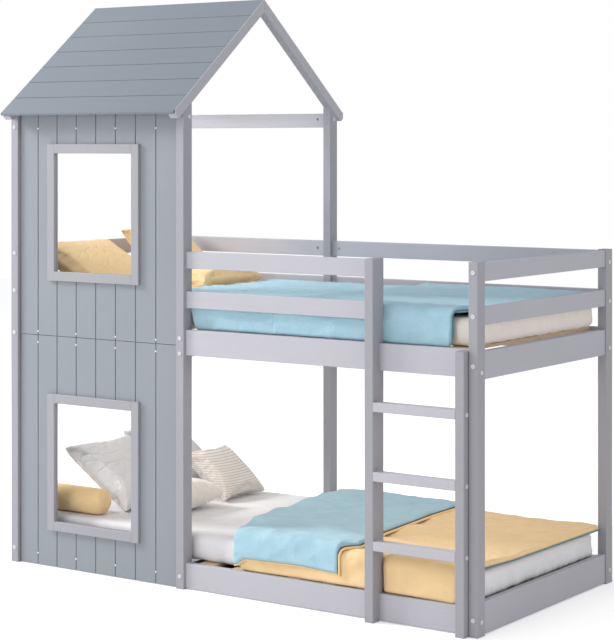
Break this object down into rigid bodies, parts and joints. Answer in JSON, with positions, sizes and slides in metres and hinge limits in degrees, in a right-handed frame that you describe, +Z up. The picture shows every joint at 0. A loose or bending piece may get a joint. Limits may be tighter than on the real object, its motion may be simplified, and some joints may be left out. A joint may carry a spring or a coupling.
{
  "type": "house bed",
  "caption": "Bunk bed in painted wood with a grooved house wall, gabled half roof and windows at one end, guard rails, and a ladder at the other.",
  "frame": {"origin": "middle of the floor area that the whole bed covers, at the feet", "axes": "+X along the bed from the house to the ladder end, +Y from front to back, +Z up"},
  "size_m": [2.0676, 1.095, 2.158],
  "materials": {
    "painted_timber": "pale grey satin paint on pine",
    "wall_board": "blue-grey satin paint on grooved board",
    "roof_board": "blue-grey satin paint on grooved board",
    "slat_timber": "bare planed pine",
    "bolt_steel": "grey coated steel",
    "zinc_steel": "zinc plated",
    "screw_steel": "white coated heads",
    "mattress_cloth": "cream cotton sheet",
    "blue_cloth": "pale blue washed cotton",
    "yellow_cloth": "straw yellow washed cotton",
    "grey_cloth": "light grey cotton"
  },
  "bodies": {
    "root": {"post_front_left": "painted_timber", "post_front_middle": "painted_timber", "post_front_right": "painted_timber", "post_back_left": "painted_timber", "post_back_middle": "painted_timber", "post_back_right": "painted_timber", "rafter_front_left": "painted_timber", "rafter_front_middle": "painted_timber", "rafter_back_left": "painted_timber", "rafter_back_middle": "painted_timber", "ridge_beam": "painted_timber", "eave_beam_front": "painted_timber", "eave_beam_back": "painted_timber", "gable_tie_left": "painted_timber", "window_frame_upper": "painted_timber", "window_frame_lower": "painted_timber", "upper_rail_front_house": "painted_timber", "upper_rail_front": "painted_timber", "upper_rail_back_house": "painted_timber", "upper_rail_back": "painted_timber", "lower_rail_front_house": "painted_timber", "lower_rail_front": "painted_timber", "lower_rail_back_house": "painted_timber", "lower_rail_back": "painted_timber", "upper_end_rail_left": "painted_timber", "upper_end_rail_right": "painted_timber", "lower_end_rail_left": "painted_timber", "lower_end_rail_right": "painted_timber", "guard_front_top": "painted_timber", "guard_front_middle": "painted_timber", "guard_back_house_top": "painted_timber", "guard_back_house_middle": "painted_timber", "guard_back_top": "painted_timber", "guard_back_middle": "painted_timber", "guard_left_top": "painted_timber", "guard_left_middle": "painted_timber", "guard_right_top": "painted_timber", "guard_right_middle": "painted_timber", "upper_cross_beam": "painted_timber", "lower_cross_beam": "painted_timber", "ladder_stile_left": "painted_timber", "ladder_stile_right": "painted_timber", "ladder_rung_1": "painted_timber", "ladder_rung_2": "painted_timber", "ladder_rung_3": "painted_timber", "slat_ledgers": "painted_timber", "wall_panel_upper": "wall_board", "wall_panel_lower": "wall_board", "roof_panel": "roof_board", "bed_slats": "slat_timber", "connector_bolts": "bolt_steel", "rail_studs": "zinc_steel", "barrel_nuts": "zinc_steel", "wood_screws": "screw_steel", "upper_mattress": "mattress_cloth", "lower_mattress": "mattress_cloth", "upper_duvet": "blue_cloth", "lower_duvet": "blue_cloth", "upper_pillows": "yellow_cloth", "lower_pillows": "grey_cloth"}
  },
  "joints": []
}
